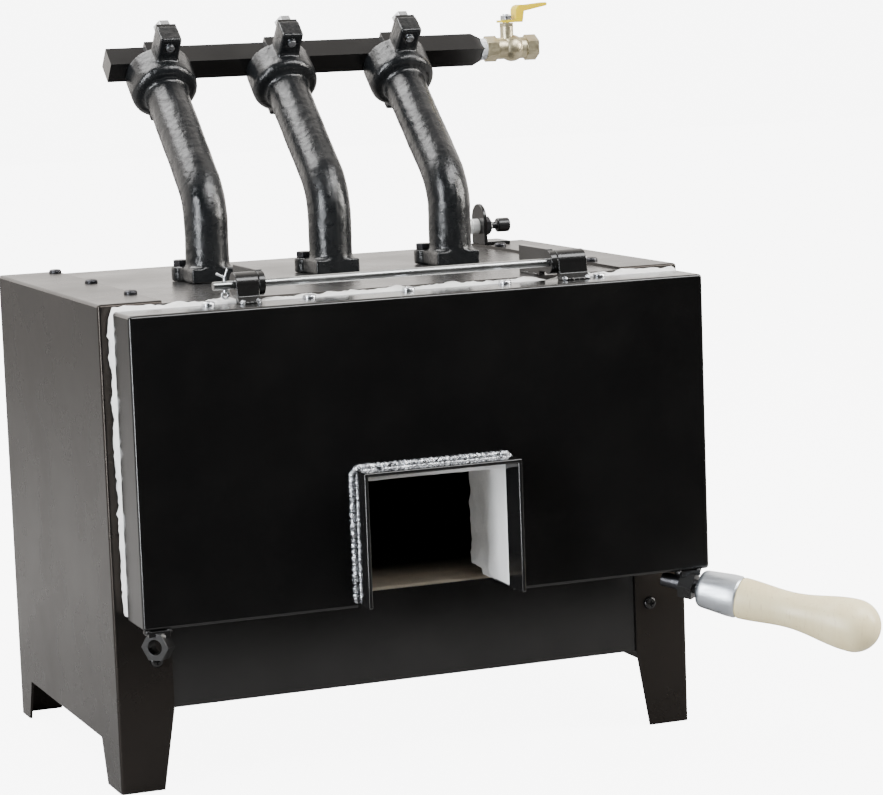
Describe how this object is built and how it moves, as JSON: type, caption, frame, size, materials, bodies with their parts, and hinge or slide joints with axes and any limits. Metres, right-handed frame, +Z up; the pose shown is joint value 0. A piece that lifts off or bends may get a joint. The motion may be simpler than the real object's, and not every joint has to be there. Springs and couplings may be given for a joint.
{
  "type": "gas forge",
  "caption": "Sheet-metal gas forge with a lift-up fibre-lined front door, cast venturi burners on a square gas manifold, a ball valve and a turned side handle.",
  "frame": {"origin": "on the floor, at the middle of the overall footprint, handle included", "axes": "+Z up, -Y out of the door, +X to the right of someone facing the door"},
  "size_m": [0.5481, 0.4686, 0.5618],
  "materials": {
    "black_paint": "semi-gloss black paint",
    "cast_black": "black paint on rough castings",
    "bare_rod": "bare steel, oiled",
    "zinc": "zinc plate",
    "dark_steel": "black oxide",
    "fibre": "white ceramic fibre",
    "firebrick": "fired clay, matt",
    "brass": "cast and satin",
    "ptfe": "white sealing tape",
    "yellow_vinyl": "yellow vinyl sleeve",
    "white_ceramic": "glazed white",
    "black_plastic": "moulded black",
    "pale_wood": "turned, clear lacquer"
  },
  "bodies": {
    "forge_body": {"left_side_panel": "black_paint", "right_side_panel": "black_paint", "lower_front_panel": "black_paint", "rear_panel": "black_paint", "bottom_pan": "black_paint", "top_plate": "black_paint", "top_screws": "dark_steel", "front_screws": "black_paint", "rear_screws": "dark_steel", "floor_brick": "firebrick", "left_lining": "fibre", "right_lining": "fibre", "rear_lining": "fibre", "roof_lining": "fibre", "burner_1": "cast_black", "burner_2": "cast_black", "burner_3": "cast_black", "burner_bolts": "dark_steel", "manifold_bar": "black_paint", "gas_jets": "brass", "manifold_clips": "black_paint", "clip_bolts": "zinc", "inlet_nipple": "ptfe", "valve_body": "brass", "valve_seats": "ptfe", "valve_gland_nut": "brass", "igniter_bracket": "black_paint", "igniter_body": "white_ceramic", "igniter_nut": "dark_steel", "hinge_ear_left": "black_paint", "hinge_ear_right": "black_paint"},
    "door": {"hinge_rod": "bare_rod", "cotter_pin": "zinc", "door_pan": "black_paint", "door_collar": "black_paint", "door_lining": "fibre", "door_screws": "zinc", "hinge_strap_left": "black_paint", "hinge_strap_right": "black_paint", "spare_nut": "black_paint", "handle_nut": "black_paint", "handle_stud": "dark_steel", "handle_ferrule": "zinc", "wooden_handle": "pale_wood"},
    "gas_valve_lever": {"valve_ball": "zinc", "valve_lever": "yellow_vinyl", "lever_nut": "zinc"},
    "igniter_push_button": {"igniter_button": "black_plastic"}
  },
  "joints": [
    {"name": "door_hinge", "type": "hinge", "parent": "forge_body", "child": "door", "pos_m": [-0.03906, -0.08469, 0.369], "axis": [-1, 0, 0], "range_deg": [0, 184]},
    {"name": "gas_valve_turn", "type": "hinge", "parent": "forge_body", "child": "gas_valve_lever", "pos_m": [0.15944, 0.18942, 0.52467], "axis": [0, 0, -1], "range_deg": [0, 90]},
    {"name": "igniter_press", "type": "slide", "parent": "forge_body", "child": "igniter_push_button", "axis": [-1, 0, 0], "range_m": [0, 0.005], "stiffness_N_per_m": 800}
  ]
}
